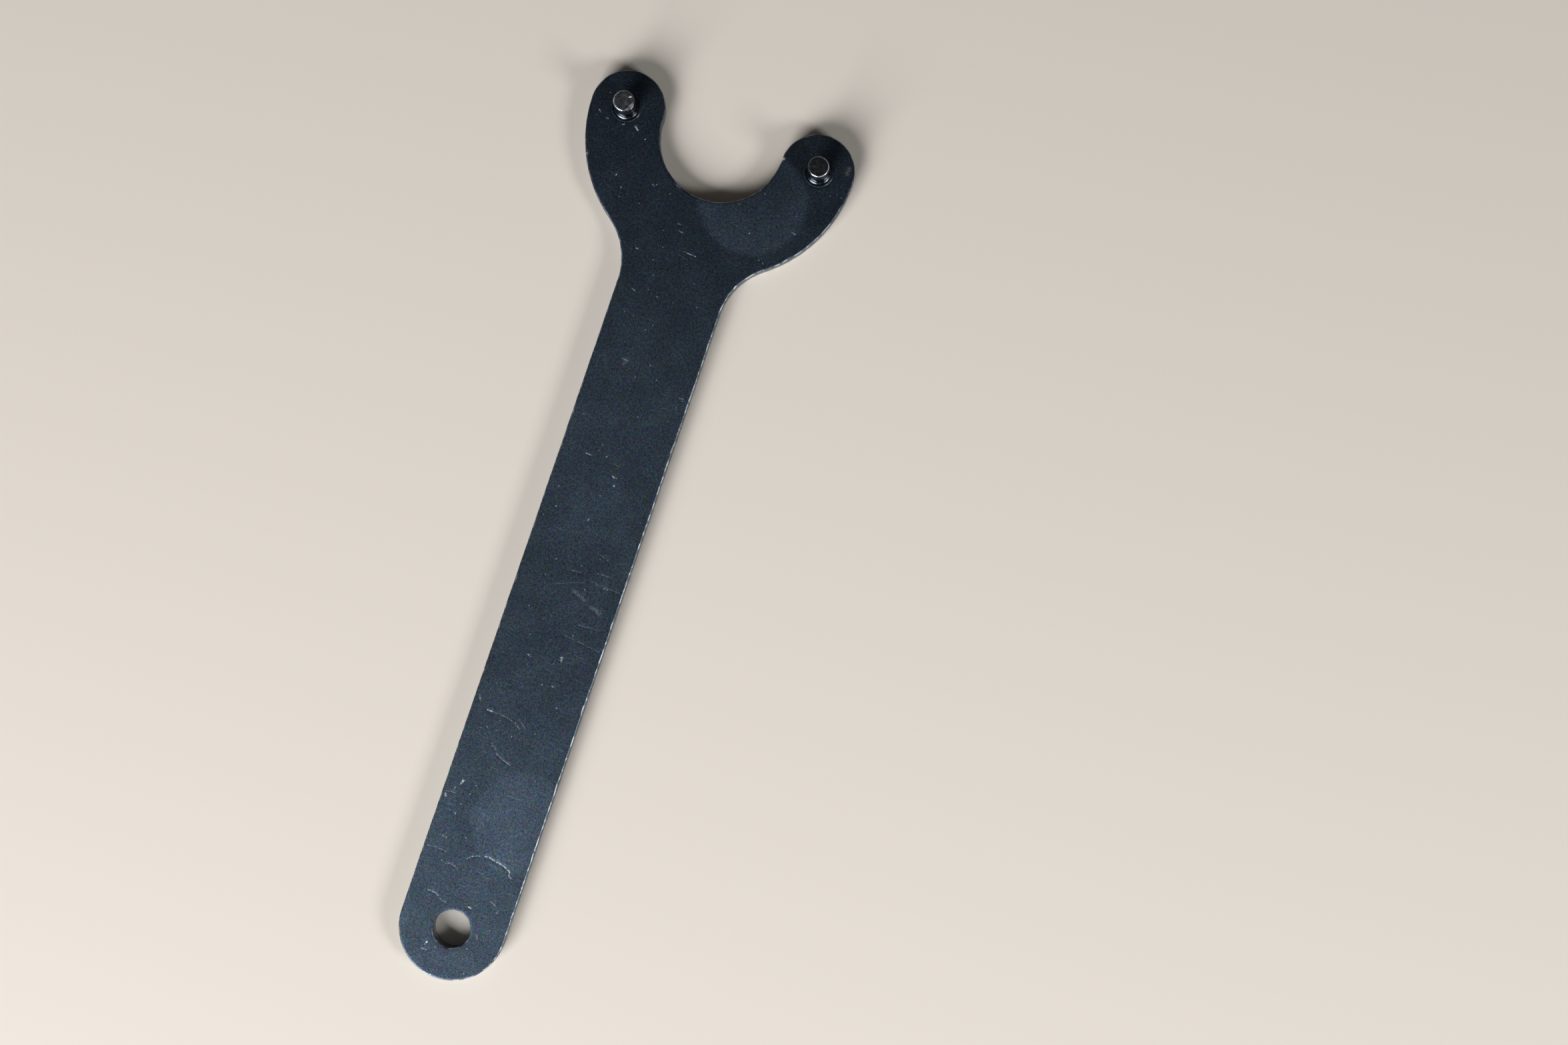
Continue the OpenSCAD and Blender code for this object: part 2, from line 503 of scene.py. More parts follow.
def pale_at(points):
    """How much lighter the working face is. The patches on the tail, on the head beside the throat and
    in the middle are rubbing and painted sheen together; the band along the handle and the rise
    towards the tail end are painted sheen; the arms get painted shade and so have less than 0."""
    shifts = [swell(41, points, (2.3, 3.1, 5)), swell(42, points, (2.1, 3.7, 6))]
    ragged = points + 0.5 * np.column_stack(shifts)
    tail = ellipse(ragged, (5.5, -122.5), (8.8, 9.6), 0.12)
    head = ellipse(ragged, (8.6, -8.2), (10.0, 9.6), 0.10)
    throat = ellipse(ragged, (9.0, -5.0), (9.0, 9.5), 0.9)
    middle = ellipse(ragged, (1.3, -67.2), (5.9, 6.2), 0.12)
    # Painted sheen in a broad band along the handle
    handle_sheen = np.exp(-(((points[:, 1] + 50) / 22) ** 2))
    # Painted shade on the arms
    arms = smooth(points[:, 1], -12, -2)
    head = np.clip(head - 0.6 * throat, 0, 1)
    # Painted sheen that rises towards the tail end
    end = 0.45 * smooth(-points[:, 1], 90, 125) + 0.22 * smooth(-points[:, 1], 58, 75)
    return 0.75 * tail + 1.25 * head + 0.3 * middle + 0.75 * handle_sheen + end - 0.35 * arms


# ---------------------------------------------------------------- the plate's faces

# Dents in the working face: place, radius and depth
DENTS = [
    ((1.8, -139.3), 0.45, 0.06),
    ((-6.5, -119.3), 0.50, 0.04),
    ((2.9, -94.0), 0.45, 0.05),
    ((-8.5, -122.2), 0.40, 0.04),
    ((-14.8, -2.8), 0.40, 0.05),
    ((-3.4, -147.4), 0.35, 0.04),
    ((-3.3, -41.6), 0.90, 0.03),
    ((5.6, -83.9), 0.80, 0.03),
    ((2.2, -82.3), 0.80, 0.02),
    ((6.2, -131.4), 0.40, 0.04),
    ((-8.4, -96.6), 0.60, 0.04),
    ((8.7, -97.2), 0.50, 0.05),
]
# How far apart the points of a face are, how far they stay from its edges, and how far the
# sheet's waves go down
FACE_STEP = 0.6
EDGE_GAP = 0.12
FACE_WAVE = 0.03


def inside(points, loop):
    """Which points are inside a closed loop."""
    x, y = points.T
    crossed = np.zeros(len(points), bool)
    for (x1, y1), (x2, y2) in zip(loop, np.roll(loop, -1, axis=0)):
        if y1 != y2:
            crossed ^= ((y1 > y) != (y2 > y)) & (x < (x2 - x1) * (y - y1) / (y2 - y1) + x1)
    return crossed


def nearest(points, others):
    """How far each point is from the nearest of the others."""
    tree = KDTree(len(others))
    for number, (x, y) in enumerate(others):
        tree.insert((x, y, 0), number)
    tree.balance()
    return np.array([tree.find((x, y, 0))[2] for x, y in points])


def face_points(rings, extra):
    """Points spread over the area between the rings, with extra ones where they are wanted.
    Also gives how far each is from the nearest ring."""
    low, high = rings[0].min(axis=0), rings[0].max(axis=0)
    rows = np.arange(low[1], high[1], FACE_STEP * math.sqrt(0.75))
    spread = np.array([
        (x + (FACE_STEP / 2 if number % 2 else 0), y)
        for number, y in enumerate(rows)
        for x in np.arange(low[0], high[0], FACE_STEP)
    ])
    spread = spread[nearest(spread, extra) > FACE_STEP * 0.4]
    points = np.vstack([spread, extra])
    keep = inside(points, rings[0])
    for ring in rings[1:]:
        keep &= ~inside(points, ring)
    points = points[keep]
    gaps = nearest(points, np.vstack(rings))
    clear = gaps > EDGE_GAP
    return points[clear], gaps[clear]


def dent_points():
    """Closer points over each dent, so that the mesh follows it."""
    turns = np.arange(12) * math.pi / 6
    rays = np.column_stack([np.cos(turns), np.sin(turns)])
    found = []
    for place, radius, _ in DENTS:
        found.append([place])
        found += [place + rays * radius * share for share in (0.35, 0.70, 1.05)]
    return np.vstack(found)


def face_sink(points, gaps, marked, up, seed):
    """How far each point of a face is sunk below its edge: the slight waves of rolled sheet, the
    grooves of the marks and, on the working face, the dents."""
    sink = FACE_WAVE * swell(seed, points, (9, 14, 23, 37, 61)) * smooth(gaps, 0.3, 3)
    sink += MARK_DEPTH * marked
    for place, radius, depth in DENTS if up else []:
        apart = np.linalg.norm(points - np.array(place), axis=1)
        sink += depth * np.exp(-((apart / (0.55 * radius)) ** 2))
    return sink


def triangles_between(rings, points):
    """Anticlockwise triangles over the area inside the first ring and outside the others. Their
    corners are numbered through the rings first and then through the points."""
    places = np.vstack([*rings, points])
    borders, first = [], 0
    for ring in rings:
        borders += [(first + i, first + (i + 1) % len(ring)) for i in range(len(ring))]
        first += len(ring)
    coords = [Vector(place) for place in places]
    _, _, triangles, origins, _, _ = delaunay_2d_cdt(coords, borders, [], 1, 1e-6)
    corners = np.array([[origins[i][0] for i in triangle] for triangle in triangles])
    middles = places[corners].mean(axis=1)
    in_hole = np.zeros(len(middles), bool)
    for ring in rings[1:]:
        in_hole |= inside(middles, ring)
    corners = corners[~in_hole]
    (ax, ay), (bx, by) = ((places[corners[:, i]] - places[corners[:, 0]]).T for i in (1, 2))
    clockwise = ax * by - ay * bx <= 0
    corners[clockwise] = corners[clockwise][:, [0, 2, 1]]
    return corners


def add_face(metal, rings, up, marks, seed):
    """Fills the area between the rings with triangles that follow its marks and dents."""
    flats = [np.array([metal.points[i][:2] for i in ring]) for ring in rings]
    level = metal.points[rings[0][0]][2]
    extra = mark_points(marks + RUST if up else marks)
    points, gaps = face_points(flats, np.vstack([extra, dent_points()]) if up else extra)
    marked = mark_at(points, marks, seed)
    sink = face_sink(points, gaps, marked, up, seed)
    wear_and_painted_light = {"mark": marked}
    if up:
        wear_and_painted_light["pale"] = pale_at(points)
        wear_and_painted_light["rust"] = mark_at(points, RUST, seed)
    heights = level - sink if up else level + sink
    fresh = metal.add(np.column_stack([points, heights]), **wear_and_painted_light)
    numbers = np.array([i for ring in rings for i in ring] + fresh)
    for a, b, c in numbers[triangles_between(flats, points)].tolist():
        metal.faces.append((a, b, c) if up else (a, c, b))


def outer_band(metal):
    """The plate's outer edge, with its small waves and knocks, its step and its bare spots."""
    loop = plate_loop()
    along, around = loop["along"], loop["around"]
    ragged = 0.05 * ripple(1, along, around, (1.1, 1.6, 2.3, 3.7, 6.1, 17)) + cut_step(loop)
    roll = 0.12 * ripple(2, along, around, (2.9, 5.3, 11, 23)) + knocks(3, loop, 26)
    x, y = loop["points"].T
    # The arrises are made brighter along the handle and on the right side: rubbing, plus a painted
    # highlight where the edges face the lamps
    edge_rub_and_highlight = (0.3 + 0.7 * smooth(-y, 6, 20)) * (0.5 + 0.5 * smooth(x, -4, 4))
    bare_and_painted_light = np.zeros(len(along))
    for place, reach, bright in BARE_SPOTS:
        gap = np.linalg.norm(loop["points"] - np.array(place), axis=1)
        bare_and_painted_light = np.maximum(bare_and_painted_light, bright * np.exp(-((gap / reach) ** 2)))
    return edge_band(metal, loop, OUTER_EDGE, ragged, roll, edge_rub_and_highlight, bare_and_painted_light)


def hole_band(metal):
    """The hanging hole's edge, rubbed on the side of the tip, and with a painted reflection of the
    floor that lightens the left side of its wall.
    """
    loop = hole_loop((0, HOLE_Y), HOLE_R)
    ragged = 0.03 * ripple(6, loop["along"], loop["around"], (1.3, 2.1, 4.2))
    roll = 0.05 * ripple(7, loop["along"], loop["around"], (1.7, 3.4, 7))
    x, y = (loop["points"] - (0, HOLE_Y)).T / HOLE_R
    edge_rub_and_highlight = smooth(0.3 * x - 0.95 * y, -0.1, 0.5)
    # Painted reflection of the floor: the left side of the hole's wall is made lighter
    bare_and_painted_light = 0.2 * smooth(-x, -0.2, 0.6)
    return edge_band(metal, loop, HOLE_EDGE, ragged, roll, edge_rub_and_highlight, bare_and_painted_light, (0.15, PLATE_T))


def seat_band(metal, side):
    """The edge around one pin, with a groove and a raised lip that is made lighter in one direction
    as a painted highlight.
    """
    centre = (side * PIN_X, 0)
    loop = hole_loop(centre, SHANK_R)
    even = np.zeros(len(loop["along"]))
    x, y = (loop["points"] - centre).T
    off = np.degrees(np.arctan2(y, x)) - LIP_HIGHLIGHT_AT
    return edge_band(metal, loop, PIN_SEAT, even, even, np.exp(-((off / LIP_HIGHLIGHT_OVER) ** 2)))


def make_plate():
    """The whole plate: its outer edge, its three holes and its two faces."""
    metal = Metal()
    edges = [outer_band(metal), hole_band(metal), seat_band(metal, -1), seat_band(metal, 1)]
    hidden = back_marks(seed=21, count=40)
    add_face(metal, [first for first, _ in edges], up=True, marks=MARKS, seed=11)
    add_face(metal, [last for _, last in edges], up=False, marks=hidden, seed=12)
    return metal.build("spanner_plate_body")


# ---------------------------------------------------------------- the pins

# A pin's section below its tip's flat face: radius, height, how much it is rubbed, and 1 where
# it is the side of the free end
PIN_SECTION = [
    (0.50, -PLATE_T + 0.050, 0.2, 0.0),
    (1.10, -PLATE_T + 0.045, 0.2, 0.0),
    (1.70, -PLATE_T + 0.035, 0.3, 0.0),
    (2.20, -PLATE_T + 0.025, 0.4, 0.0),
    (RIVET_R - 0.22, -PLATE_T + 0.020, 0.7, 0.0),
    (RIVET_R - 0.09, -PLATE_T + 0.045, 1.0, 0.0),
    (RIVET_R - 0.06, -PLATE_T + 0.100, 0.4, 0.0),
    (SHANK_R - 0.01, -PLATE_T + RIVET_DEPTH, 0.0, 0.0),
    (SHANK_R - 0.01, -0.250, 0.0, 0.0),
    (SHANK_R - 0.01, -0.020, 0.0, 0.0),
    (SHANK_R - 0.02, 0.030, 0.1, 0.0),
    (SHANK_R - 0.05, 0.078, 0.1, 0.0),
    (SHANK_R - 0.10, 0.112, 0.1, 0.0),
    (SHANK_R - 0.16, 0.138, 0.1, 0.0),
    (SHANK_R - 0.22, 0.165, 0.1, 0.0),
    (PIN_R + 0.04, 0.205, 0.1, 0.0),
    (PIN_R + 0.01, 0.270, 0.1, 0.3),
    (PIN_R - 0.01, 0.400, 0.0, 1.0),
    (PIN_R - 0.02, 0.600, 0.0, 1.0),
    (PIN_R - 0.02, 1.200, 0.0, 1.0),
    (PIN_R - 0.02, 2.000, 0.0, 1.0),
    (PIN_R - 0.02, 2.800, 0.0, 1.0),
    (PIN_R - 0.02, 3.600, 0.1, 1.0),
    (PIN_R - 0.02, PIN_TOP - 0.800, 0.2, 1.0),
    (PIN_R - 0.02, PIN_TOP - 0.420, 0.0, 0.8),
    (PIN_R - 0.04, PIN_TOP - 0.310, 0.0, 0.4),
    (PIN_R - 0.08, PIN_TOP - 0.215, 0.0, 0.2),
    (PIN_R - 0.14, PIN_TOP - 0.130, 0.1, 0.0),
    (PIN_R - 0.19, PIN_TOP - 0.084, 0.9, 0.0),
    (PIN_R - 0.24, PIN_TOP - 0.052, 0.9, 0.0),
    (PIN_R - 0.29, PIN_TOP - 0.030, 0.1, 0.0),
    (PIN_R - PIN_CHAMFER, PIN_TOP - 0.012, 0.1, 0.0),
]
PIN_SIDES = 128
TIP_RINGS = 9
TIP_HOLLOW = 0.010

# In these tables the left pin is -1 and the right pin is 1.
# Chips in each pin's rim: the direction of each in degrees, its width in degrees and its depth
PIN_CHIPS = {
    -1: [(-62, 4, 0.06), (64, 14, 0.04), (150, 9, 0.03)],
    1: [(205, 8, 0.05), (88, 7, 0.05), (-95, 6, 0.04)],
}

# The direction in which each tip's rim is brightest, in degrees: rubbing, with a painted
# highlight on the side that faces a lamp
BRIGHT_SIDE = {-1: 205, 1: -10}

# Places where a tip is worn slantwise: the direction in degrees, how far from the axis it
# starts and how fast it deepens
PIN_WEAR = {-1: [(-27, 0.40, 0.15)], 1: []}


def tip_section():
    """The rings of the flat face at the tip, which is very slightly hollow."""
    outer = PIN_R - PIN_CHAMFER - 0.08
    radii = np.linspace(outer, outer / TIP_RINGS, TIP_RINGS)
    heights = PIN_TOP - 0.006 - TIP_HOLLOW * (1 - radii / outer)
    return [(radius, height, 0.0, 0.0) for radius, height in zip(radii, heights)]


def tip_loss(side, turns, radius, height):
    """How much metal is gone at each point of a ring near the tip, inwards and downwards, and how
    much is worn slantwise."""
    chipped = np.zeros(len(turns))
    for towards, width, depth in PIN_CHIPS[side]:
        off = np.degrees(np.angle(np.exp(1j * (turns - math.radians(towards)))))
        chipped += depth * np.exp(-((off / width) ** 2))
    chipped *= math.exp(-(((height - PIN_TOP + 0.1) / 0.16) ** 2))
    chipped *= smooth(radius, PIN_R - 0.5, PIN_R - 0.3)
    slanted = np.zeros(len(turns))
    for towards, start, steep in PIN_WEAR[side]:
        reach = np.clip(radius * np.cos(turns - math.radians(towards)) - start, 0, None)
        slanted = np.maximum(slanted, steep * reach**2 - (PIN_TOP - height))
    slanted = np.clip(slanted, 0, None)
    return chipped, 0.5 * chipped + slanted, slanted


def close_end(metal, ring, middle, up):
    """A fan of triangles over one end of a pin."""
    centre = metal.add([middle])[0]
    for i, corner in enumerate(ring):
        after = ring[(i + 1) % len(ring)]
        metal.faces.append((corner, after, centre) if up else (after, corner, centre))


def make_pin(side):
    """One pin, turned about its axis, with small chips in its rim and a hammered riveted end."""
    metal = Metal()
    turns = np.linspace(0, 2 * math.pi, PIN_SIDES, endpoint=False)
    rays = np.column_stack([np.cos(turns), np.sin(turns)])
    # The rim is lighter towards BRIGHT_SIDE: rubbing, plus a painted highlight on the side that faces
    # a lamp
    rim_rub_and_highlight = 0.65 + 0.35 * np.cos(turns - math.radians(BRIGHT_SIDE[side]))
    rings = []
    for radius, height, rim, wall in PIN_SECTION + tip_section():
        inward, downward, slanted = tip_loss(side, turns, radius, height)
        rub_and_highlight = np.maximum(rim * rim_rub_and_highlight, 0.6 * smooth(slanted, 0.0, 0.16))
        hammered = height < RIVET_DEPTH / 2 - PLATE_T
        beaten = 0.02 * swell(31 + side, radius * rays, (1.1, 1.7, 2.3)) if hammered else 0
        xy = (radius - inward)[:, None] * rays + (side * PIN_X, 0)
        z = height - downward + beaten
        rings.append(metal.add(np.column_stack([xy, z]), rim=rub_and_highlight, wall=wall))
    for lower, upper in zip(rings, rings[1:]):
        metal.skin(upper, lower)
    close_end(metal, rings[0], (side * PIN_X, 0, -PLATE_T + 0.05), False)
    close_end(metal, rings[-1], (side * PIN_X, 0, PIN_TOP - 0.016), True)
    return metal.build("left_pin_turned" if side < 0 else "right_pin_turned")


# ---------------------------------------------------------------- material nodes


class Graph:
    """Adds nodes to a tree. A value is a number, a tuple or the socket that it comes from."""

    def __init__(self, tree):
        self.tree = tree

    def node(self, kind, values=None, **settings):
        made = self.tree.nodes.new(kind)
        for name, setting in settings.items():
            setattr(made, name, setting)
        for key, value in (values or {}).items():
            self.feed(made.inputs[key], value)
        return made

    def feed(self, socket, value):
        if isinstance(value, bpy.types.NodeSocket):
            self.tree.links.new(value, socket)
        else:
            socket.default_value = value

    def math(self, operation, a, b=0.0, clamp=False):
        values = {0: a, 1: b}
        return self.node("ShaderNodeMath", values, operation=operation, use_clamp=clamp).outputs[0]

    def vector(self, operation, a, b, c=(0.0, 0.0, 0.0)):
        made = self.node("ShaderNodeVectorMath", {0: a, 1: b, 2: c}, operation=operation)
        return made.outputs["Value" if operation == "DISTANCE" else "Vector"]

    def scale(self, value, factor):
        values = {0: value, "Scale": factor}
        return self.node("ShaderNodeVectorMath", values, operation="SCALE").outputs["Vector"]

    def step(self, value, low, high, start=0.0, end=1.0):
        """start below low and end above high, with a smooth change between them."""
        values = {"Value": value, "From Min": low, "From Max": high, "To Min": start, "To Max": end}
        made = self.node("ShaderNodeMapRange", values, interpolation_type="SMOOTHSTEP")
        return made.outputs["Result"]

    def most(self, first, *others):
        """The largest of the values."""
        for other in others:
            first = self.math("MAXIMUM", first, other)
        return first

    def noise(self, where, scale, detail=2.0, roughness=0.5):
        values = {"Vector": where, "Scale": scale, "Detail": detail, "Roughness": roughness}
        return self.node("ShaderNodeTexNoise", values).outputs["Fac"]

    def mix(self, share, a, b):
        """A colour that goes from a to b as share goes from 0 to 1."""
        made = self.node("ShaderNodeMix", data_type="RGBA")
        self.feed(made.inputs[0], share)
        self.feed(made.inputs[6], a)
        self.feed(made.inputs[7], b)
        return made.outputs[2]

    def attribute(self, name):
        return self.node("ShaderNodeAttribute", attribute_name=name).outputs["Fac"]

    def millimetres(self):
        """The place on the object, in millimetres."""
        return self.scale(self.node("ShaderNodeTexCoord").outputs["Object"], 1 / MM)

    def height(self, where):
        return self.node("ShaderNodeSeparateXYZ", {0: where}).outputs["Z"]

    def bump(self, shader, relief):
        """Raises the surface by up to 0.02 mm where the relief is high."""
        values = {"Strength": 0.5, "Distance": 0.02 * MM, "Height": relief}
        self.feed(shader.inputs["Normal"], self.node("ShaderNodeBump", values).outputs["Normal"])

    def streaks(self, where, angle, length, width, amount):
        """Fine straight lines at an angle, with a share of the surface under them."""
        turn = {"Vector": where, "Rotation": (0, 0, math.radians(angle))}
        turned = self.node("ShaderNodeMapping", turn).outputs[0]
        stretched = self.vector("MULTIPLY", turned, (1 / length, 1 / width, 1))
        return self.step(self.noise(stretched, 1.0, 1.0), 0.80 - amount, 0.86 - amount)


def new_material(name, viewport_colour, **fixed):
    """A material with one Principled shader, whose fixed values are set on its own sockets."""
    material = bpy.data.materials.new(name)
    material.use_nodes = True
    material.diffuse_color = viewport_colour
    shader = material.node_tree.nodes["Principled BSDF"]
    for key, value in fixed.items():
        shader.inputs[key.title()].default_value = value
    return material, Graph(material.node_tree), shader


# ---------------------------------------------------------------- blackened steel

# How much lighter a place is where the pale layer is 1
PALE_GAIN = 0.45

OXIDE = (0.044, 0.060, 0.080, 1.0)
SHEARED = (0.150, 0.148, 0.146, 1.0)
# Bare steel, also the colour of the painted highlights on the arrises and of the painted reflection on
# the hanging hole's wall
BARE_STEEL_AND_HIGHLIGHT = (0.62, 0.67, 0.72, 1.0)
RUST_COLOUR = (0.78, 0.60, 0.50, 1.0)


def oxide_tone(graph, wall, fine, coarse, cloud):
    """How light the oxide is: its grain, its clouds and the pale places, which hold rubbing,
    painted sheen and painted shade. It varies less on walls.
    """
    grain = graph.step(fine, 0.30, 0.80, 0.65, 2.10)
    tone = graph.math("ADD", grain, graph.step(coarse, 0.3, 0.7, -0.30, 0.30))
    tone = graph.math("MULTIPLY", tone, graph.step(cloud, 0.3, 0.7, 0.88, 1.12))
    pale = graph.math("MULTIPLY", graph.attribute("pale"), PALE_GAIN)
    tone = graph.math("MULTIPLY", tone, graph.math("ADD", pale, 1.0))
    even = graph.step(wall, 0.0, 1.0, 1.0, 0.25)
    return graph.math("ADD", graph.math("MULTIPLY", graph.math("SUBTRACT", tone, 1.0), even), 1.0)


def oxide_colour(graph, place, wall, drags, tone):
    """Blue-black with grains of slightly different hues, and grey where the sheet was sheared."""
    torn = graph.step(graph.height(place), -1.6, -1.0, 1.0, 0.7)
    sheared = graph.math("MULTIPLY", wall, torn)
    sheared = graph.math("MULTIPLY", sheared, graph.step(drags, 0.30, 0.70, 0.55, 1.0))
    cells = {"Vector": place, "Scale": 5.0, "Randomness": 1.0}
    grains = graph.node("ShaderNodeTexVoronoi", cells).outputs["Color"]
    hue = graph.vector("MULTIPLY_ADD", grains, (0.7, 0.6, 0.7), (0.65, 0.70, 0.65))
    hue = graph.mix(wall, hue, (1.0, 1.0, 1.0, 1.0))
    return graph.scale(graph.vector("MULTIPLY", graph.mix(sheared, OXIDE, SHEARED), hue), tone)


def flecks(graph, place):
    """Tiny bright specks, in a few of the cells of a random pattern."""
    cells = graph.node("ShaderNodeTexVoronoi", {"Vector": place, "Scale": 1.1, "Randomness": 1.0})
    chosen = graph.node("ShaderNodeSeparateColor", {0: cells.outputs["Color"]}).outputs[0]
    size = graph.step(chosen, 0.70, 1.0, 0.06, 0.15)
    ratio = graph.math("DIVIDE", cells.outputs["Distance"], size)
    speck = graph.step(ratio, 0.6, 1.0, 1.0, 0.0)
    return graph.math("MULTIPLY", speck, graph.step(chosen, 0.70, 1.0, 0.0, 0.6))


def scratches(graph, place, cloud):
    """The marks of the mesh, broken up into beads, with hairlines and tiny specks. The mesh's marks
    include the painted reflection on the hanging hole's wall.
    """
    beads = graph.step(graph.noise(place, 3.2), 0.42, 0.58, 0.35, 2.2)
    mark = graph.math("MULTIPLY", graph.attribute("mark"), beads, clamp=True)
    hair = graph.streaks(place, 6, 4.5, 0.11, 0.10)
    hair = graph.most(hair, graph.streaks(place, -28, 3.0, 0.10, 0.09))
    hair = graph.math("MULTIPLY", hair, graph.step(cloud, 0.45, 0.6, 0.0, 0.30))
    return graph.most(mark, flecks(graph, place), hair)


def blackened_steel():
    """Black-oxide steel: a satin blue-black skin with a fine grain, rubbed through in places, with
    painted sheen and shade on the face, painted highlights on edges that face the lamps and a
    painted reflection on the hanging hole's wall.
    """
    material, graph, shader = new_material("blackened_steel", (0.05, 0.06, 0.08, 1.0), metallic=1.0)
    place = graph.millimetres()
    wall = graph.attribute("wall")
    fine = graph.noise(place, 6.5, 2.0, 0.6)
    coarse = graph.noise(place, 2.2, 3.0, 0.65)
    cloud = graph.noise(place, 0.16, 4.0, 0.6)
    drags = graph.noise(graph.vector("MULTIPLY", place, (6.5, 6.5, 0.6)), 1.0)

    runs = graph.step(graph.noise(place, 0.8, 3.0, 0.65), 0.44, 0.60, 0.14, 1.0)
    rub_and_highlight = graph.math("MULTIPLY", graph.attribute("rim"), runs, clamp=True)
    scratch_and_reflection = scratches(graph, place, cloud)
    bare_and_painted_light = graph.most(scratch_and_reflection, rub_and_highlight)
    rust = graph.math("MULTIPLY", graph.attribute("rust"), graph.step(fine, 0.44, 0.52), clamp=True)
    matt = graph.most(scratch_and_reflection, rust, wall, rub_and_highlight)
    graph.feed(shader.inputs["Metallic"], graph.step(matt, 0.0, 1.0, 1.0, 0.35))

    tone = oxide_tone(graph, wall, fine, coarse, cloud)
    colour = graph.mix(bare_and_painted_light, oxide_colour(graph, place, wall, drags, tone), BARE_STEEL_AND_HIGHLIGHT)
    graph.feed(shader.inputs["Base Color"], graph.mix(rust, colour, RUST_COLOUR))

    satin = graph.step(fine, 0.2, 0.8, 0.44, 0.56)
    rough = graph.math("SUBTRACT", satin, graph.math("MULTIPLY", bare_and_painted_light, 0.15))
    graph.feed(shader.inputs["Roughness"], rough)
    relief = graph.math("ADD", graph.math("MULTIPLY", fine, 0.6), graph.math("MULTIPLY", coarse, 0.6))
    grooves = graph.math("MULTIPLY", graph.math("MULTIPLY", drags, wall), 0.8)
    graph.bump(shader, graph.math("ADD", relief, grooves))
    return material


# ---------------------------------------------------------------- pin steel

PIN_SKIN_DARK = (0.030, 0.034, 0.042, 1.0)
PIN_SKIN_LIGHT = (0.070, 0.074, 0.085, 1.0)
# Bare steel, also the colour of the painted highlight on each rim and the painted glints on the tips
PIN_BARE_AND_GLINT = (0.70, 0.76, 0.82, 1.0)

# How light the flat face of each tip is rubbed
TIP_TONE = {-1: 0.45, 1: 0.12}

# Small bright spots on each pin's tip, bare and raised, lightened as painted glints: the place from
# the pin's axis, the radius and how bright
TIP_SPOTS = {
    -1: [((0.90, 1.02), 0.20, 1.0), ((0.72, 0.90), 0.15, 1.0), ((1.10, 1.02), 0.10, 0.8)],
    1: [((-0.78, -0.12), 0.09, 0.5), ((-1.13, -0.94), 0.07, 0.2), ((-0.36, -0.87), 0.06, 0.2)],
}


def tip_spots(graph, place, side):
    """1 on the small bright spots of one pin's tip, which are bare and lightened as painted glints."""
    total = 0.0
    for (x, y), radius, bright in TIP_SPOTS[side]:
        apart = graph.vector("DISTANCE", place, (side * PIN_X + x, y, PIN_TOP))
        total = graph.most(total, graph.step(apart, 0.4 * radius, 1.2 * radius, bright, 0.0))
    return total


def tip_face(graph, on_tip, fine, coarse, tone):
    """How much of the flat face of the tip is rubbed, in a fine grain."""
    face = graph.math("MULTIPLY", on_tip, graph.step(coarse, 0.35, 0.65, 0.6 * tone, tone))
    return graph.math("MULTIPLY", face, graph.step(fine, 0.35, 0.65, 0.3, 1.7))


def pin_steel(side):
    """Hardened steel with a smooth black skin, rubbed bright along the rim of the tip, with a painted
    highlight on the side of the rim that faces a lamp and painted glints in small spots on the tip.
    """
    name = "left_pin_steel" if side < 0 else "right_pin_steel"
    material, graph, shader = new_material(name, (0.1, 0.11, 0.12, 1.0), metallic=1.0)
    place = graph.millimetres()
    height = graph.height(place)
    fine = graph.noise(place, 8.0, 3.0, 0.6)
    coarse = graph.noise(place, 1.6, 3.0, 0.6)
    drawn = graph.noise(graph.vector("MULTIPLY", place, (6.0, 6.0, 0.5)), 1.0)

    on_tip = graph.step(height, PIN_TOP - 0.12, PIN_TOP - 0.02)
    face = tip_face(graph, on_tip, fine, coarse, TIP_TONE[side])
    patches = graph.step(coarse, 0.38, 0.58, 0.65, 1.1)
    rub_and_highlight = graph.math("MULTIPLY", graph.attribute("rim"), patches, clamp=True)
    scored = graph.math("MULTIPLY", graph.attribute("wall"), graph.step(drawn, 0.55, 0.75, 0.0, 0.07))
    spots = tip_spots(graph, place, side)
    bare_and_painted_light = graph.most(rub_and_highlight, scored, face, spots)
    matt = graph.most(spots, graph.math("MULTIPLY", rub_and_highlight, 0.85))
    graph.feed(shader.inputs["Metallic"], graph.step(matt, 0.0, 1.0, 1.0, 0.3))

    skin = graph.mix(coarse, PIN_SKIN_DARK, PIN_SKIN_LIGHT)
    graph.feed(shader.inputs["Base Color"], graph.mix(bare_and_painted_light, skin, PIN_BARE_AND_GLINT))
    gloss = graph.step(coarse, 0.3, 0.7, 0.12, 0.20)
    on_foot = graph.step(height, 0.20, 0.35, 0.06, 0.0)
    dulled = graph.math("ADD", graph.math("MULTIPLY", on_tip, 0.18), on_foot)
    graph.feed(shader.inputs["Roughness"], graph.math("ADD", gloss, dulled))
    raised = graph.math("MULTIPLY", spots, 4.0)
    graph.bump(shader, graph.math("ADD", graph.math("MULTIPLY", fine, 0.2), raised))
    return material


# ---------------------------------------------------------------- camera, floor and light


def make_camera():
    """Looks almost straight down from 35 cm above the working face."""
    data = bpy.data.cameras.new("camera")
    data.lens = 46.7
    data.sensor_width = 36
    data.clip_start = 0.01
    data.clip_end = 10
    camera = bpy.data.objects.new("camera", data)
    camera.rotation_euler = Euler((0.0060, 0.0186, 0.3306), "XYZ")
    camera.location = (0.03825, -0.05880, 0.34934)
    bpy.context.scene.collection.objects.link(camera)
    bpy.context.scene.camera = camera
    bpy.context.view_layer.update()
    return camera


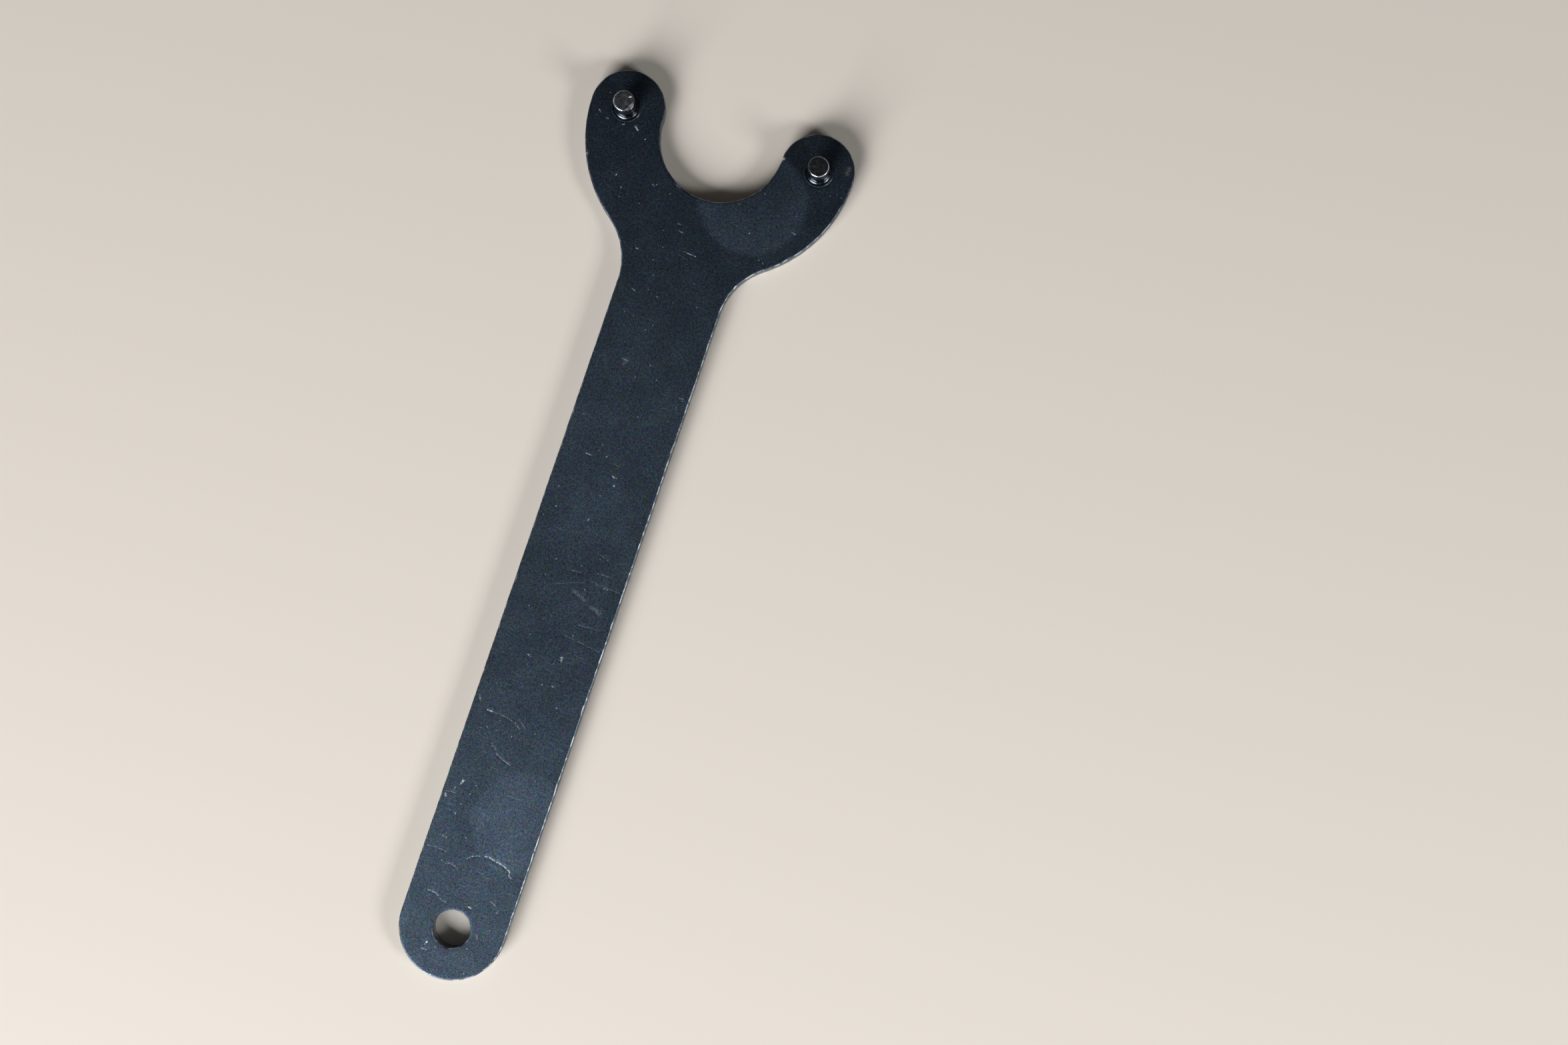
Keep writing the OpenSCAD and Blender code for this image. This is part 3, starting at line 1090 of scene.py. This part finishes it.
def make_floor():
    """A plain pale floor, 8 m square and level with the back face of the plate."""
    half = 4.0
    mesh = bpy.data.meshes.new("floor")
    corners = ((-half, -half), (half, -half), (half, half), (-half, half))
    mesh.from_pydata([(x, y, -PLATE_T * MM) for x, y in corners], [], [(0, 1, 2, 3)])
    floor = bpy.data.objects.new("floor", mesh)
    bpy.context.scene.collection.objects.link(floor)
    material, _, shader = new_material("pale_floor", (0.8, 0.76, 0.7, 1.0), roughness=0.75)
    shader.inputs["Base Color"].default_value = (0.78, 0.69, 0.60, 1.0)
    mesh.materials.append(material)


# The place that the lights shine on
LIT_PLACE = Vector((0, -0.075, 0))


def make_light(name, direction, distance, size, power, colour):
    """A square soft light that shines on the middle of the spanner from the given direction."""
    data = bpy.data.lights.new(name, "AREA")
    data.size = size
    data.energy = power
    data.color = colour
    light = bpy.data.objects.new(name, data)
    away = direction.normalized()
    light.location = LIT_PLACE + away * distance
    light.rotation_euler = away.to_track_quat("Z", "Y").to_euler()
    bpy.context.scene.collection.objects.link(light)


def light_room():
    """Weak light from all round: pale low down, as from walls, and dim overhead."""
    world = bpy.data.worlds.new("studio")
    world.use_nodes = True
    graph = Graph(world.node_tree)
    background = world.node_tree.nodes["Background"]
    background.inputs["Color"].default_value = (1.0, 0.96, 0.91, 1.0)
    direction = graph.node("ShaderNodeTexCoord").outputs["Generated"]
    strength = graph.step(graph.height(direction), 0.10, 0.65, 0.12, 0.04)
    graph.feed(background.inputs["Strength"], strength)
    bpy.context.scene.world = world


def light_scene(camera):
    """A large soft light from the lower left of the picture, a small weak one from the lower
    right, and the room's own weak light."""
    turn = camera.matrix_world.to_quaternion()
    right = turn @ Vector((1, 0, 0))
    down = turn @ Vector((0, -1, 0))
    up = Vector((0, 0, 1))
    lower_left = down * 0.82 - right * 0.57 + up * 0.62
    lower_right = down * 0.55 + right * 0.84 + up * 0.65
    make_light("left_window", lower_left, 1.05, size=0.62, power=16.5, colour=(0.92, 0.96, 1.0))
    make_light("right_window", lower_right, 1.00, size=0.27, power=4.2, colour=(0.90, 0.96, 1.0))
    light_room()
    bpy.context.scene.view_settings.view_transform = "Standard"


# ---------------------------------------------------------------- the whole scene


def place_piece(piece, node, material):
    """Gives a piece its material and its place in the frame."""
    piece.data.materials.append(material)
    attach(piece, "root")
    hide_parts(node)


camera = make_camera()
make_floor()
light_scene(camera)

place_piece(make_plate(), "spanner_plate", blackened_steel())
place_piece(make_pin(-1), "left_pin", pin_steel(-1))
place_piece(make_pin(1), "right_pin", pin_steel(1))
